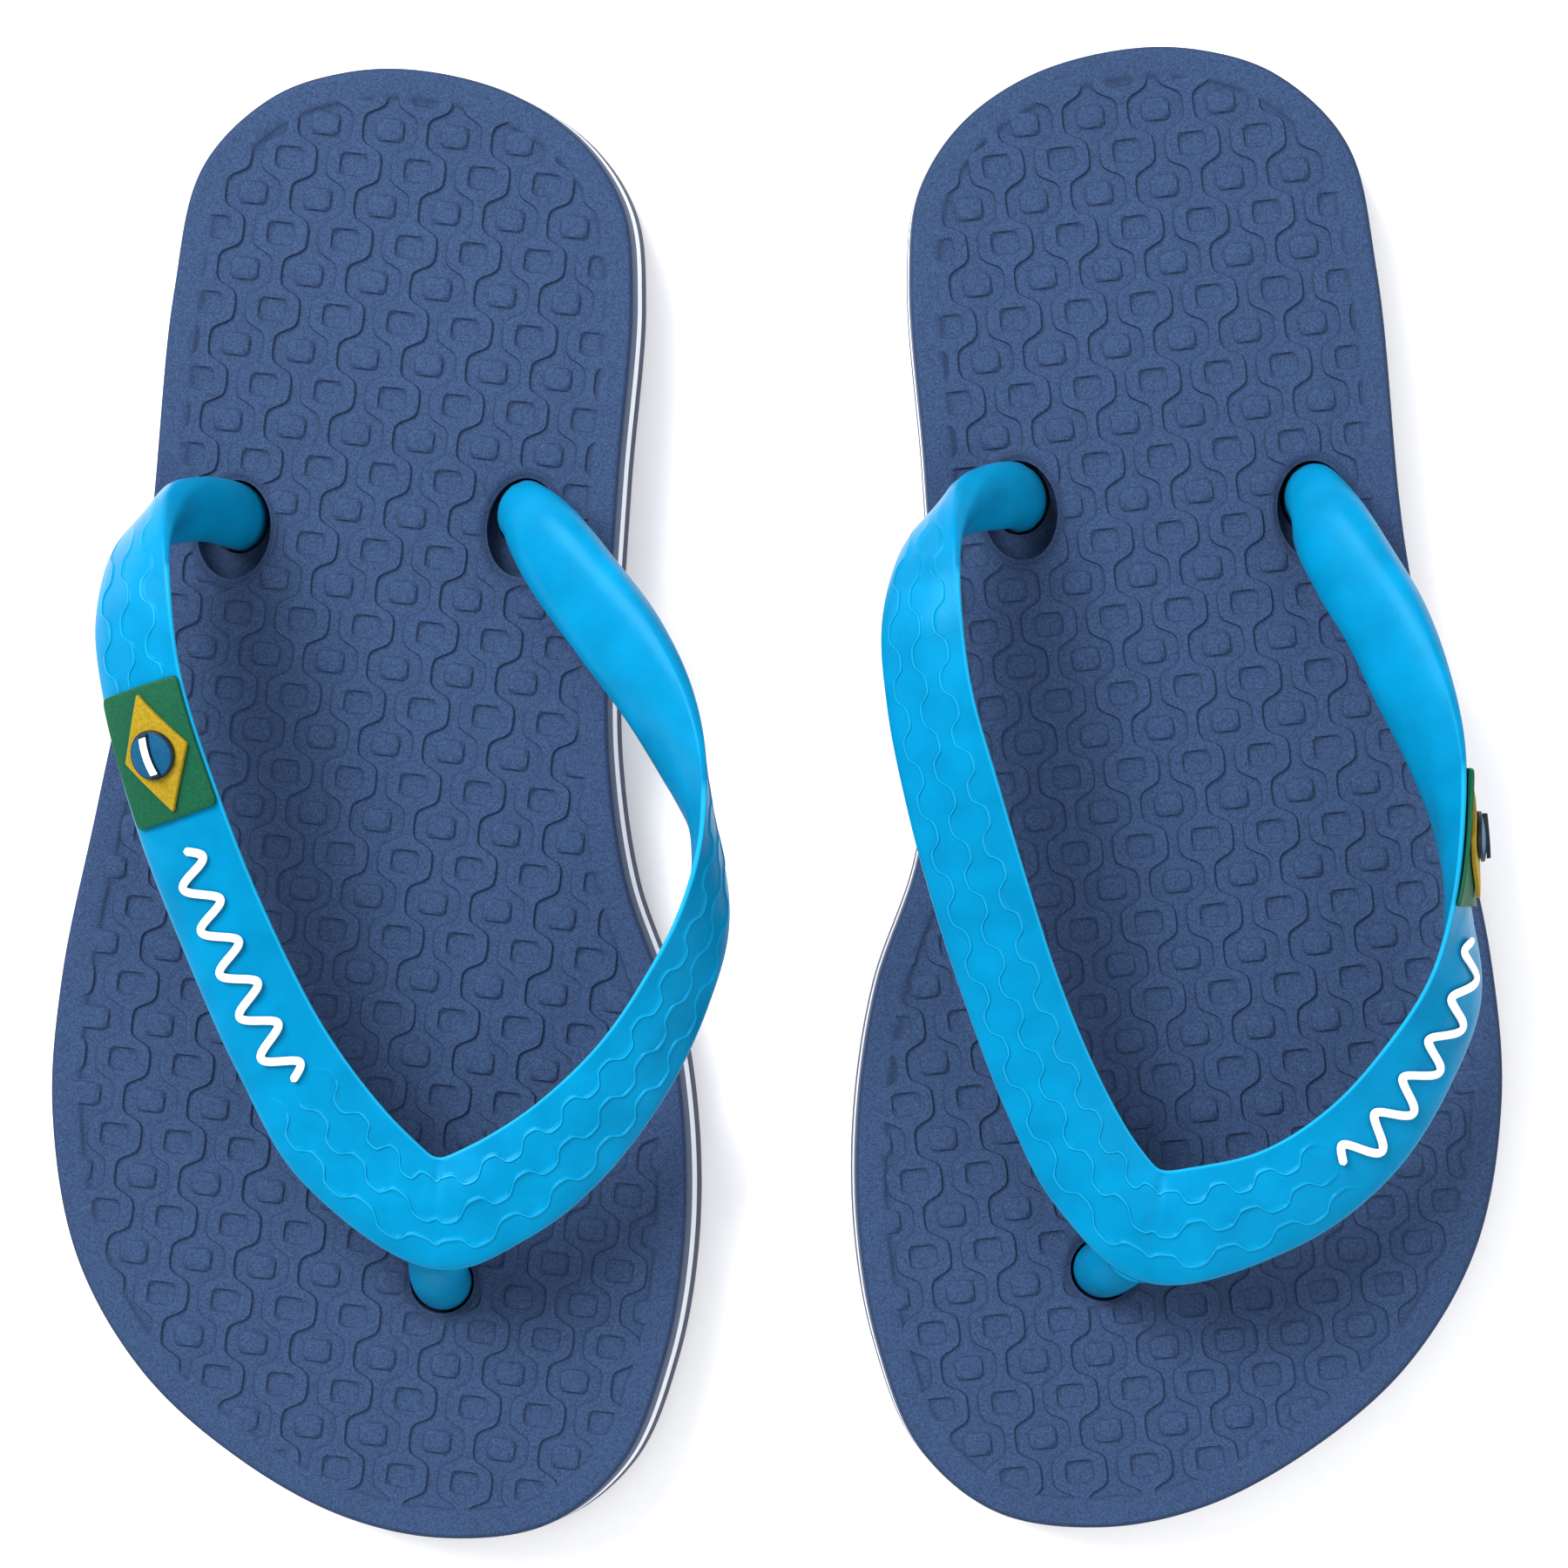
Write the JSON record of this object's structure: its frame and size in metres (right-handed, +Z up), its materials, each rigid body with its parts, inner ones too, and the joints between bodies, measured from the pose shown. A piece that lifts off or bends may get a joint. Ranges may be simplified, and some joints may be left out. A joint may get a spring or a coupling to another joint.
{
  "type": "pair of thong sandals",
  "caption": "Child's pair of thong sandals: layered moulded soles with an elastic strap that plugs through each sole beside the foot and between the toes.",
  "frame": {"origin": "on the ground under the middle of the pair's box", "axes": "+Z up, toes towards -Y, the right sandal on -X and the left one on +X"},
  "size_m": [0.1944, 0.1998, 0.043],
  "materials": {
    "footbed": "matt navy moulded sole foam with a shallow relief pattern",
    "midsole": "smooth white sole layer",
    "outsole": "matt navy outsole",
    "strap": "satin cyan moulded elastomer",
    "emblem_green": "satin green moulded layer",
    "emblem_yellow": "satin yellow moulded layer",
    "emblem_blue": "satin blue moulded dome",
    "print_white": "raised white print"
  },
  "bodies": {
    "right_heel": {"right_footbed_heel": "footbed", "right_midsole_heel": "midsole", "right_outsole_heel": "outsole", "right_strap": "strap", "right_emblem_patch": "emblem_green", "right_emblem_lozenge": "emblem_yellow", "right_emblem_disc": "emblem_blue", "right_emblem_bar": "print_white", "right_strap_print": "print_white"},
    "right_toe": {"right_footbed_toe": "footbed", "right_midsole_toe": "midsole", "right_outsole_toe": "outsole"},
    "left_heel": {"left_footbed_heel": "footbed", "left_midsole_heel": "midsole", "left_outsole_heel": "outsole", "left_strap": "strap", "left_emblem_patch": "emblem_green", "left_emblem_lozenge": "emblem_yellow", "left_emblem_disc": "emblem_blue", "left_emblem_bar": "print_white", "left_strap_print": "print_white"},
    "left_toe": {"left_footbed_toe": "footbed", "left_midsole_toe": "midsole", "left_outsole_toe": "outsole"}
  },
  "joints": [
    {"name": "right_sole_flex", "type": "hinge", "parent": "right_heel", "child": "right_toe", "pos_m": [-0.05307, -0.04118, 0.014], "axis": [-0.9936, 0.1132, 0], "range_deg": [0, 40], "stiffness_Nm_per_rad": 1, "deforming": ["right_strap", "right_strap_print"]},
    {"name": "left_sandal_lift", "type": "slide", "parent": "right_heel", "child": "left_heel", "axis": [0, 0, 1], "range_m": [0, 0.08]},
    {"name": "left_sole_flex", "type": "hinge", "parent": "left_heel", "child": "left_toe", "pos_m": [0.05307, -0.03908, 0.014], "axis": [-0.9936, -0.1132, 0], "range_deg": [0, 40], "stiffness_Nm_per_rad": 1, "deforming": ["left_strap", "left_strap_print"]}
  ]
}
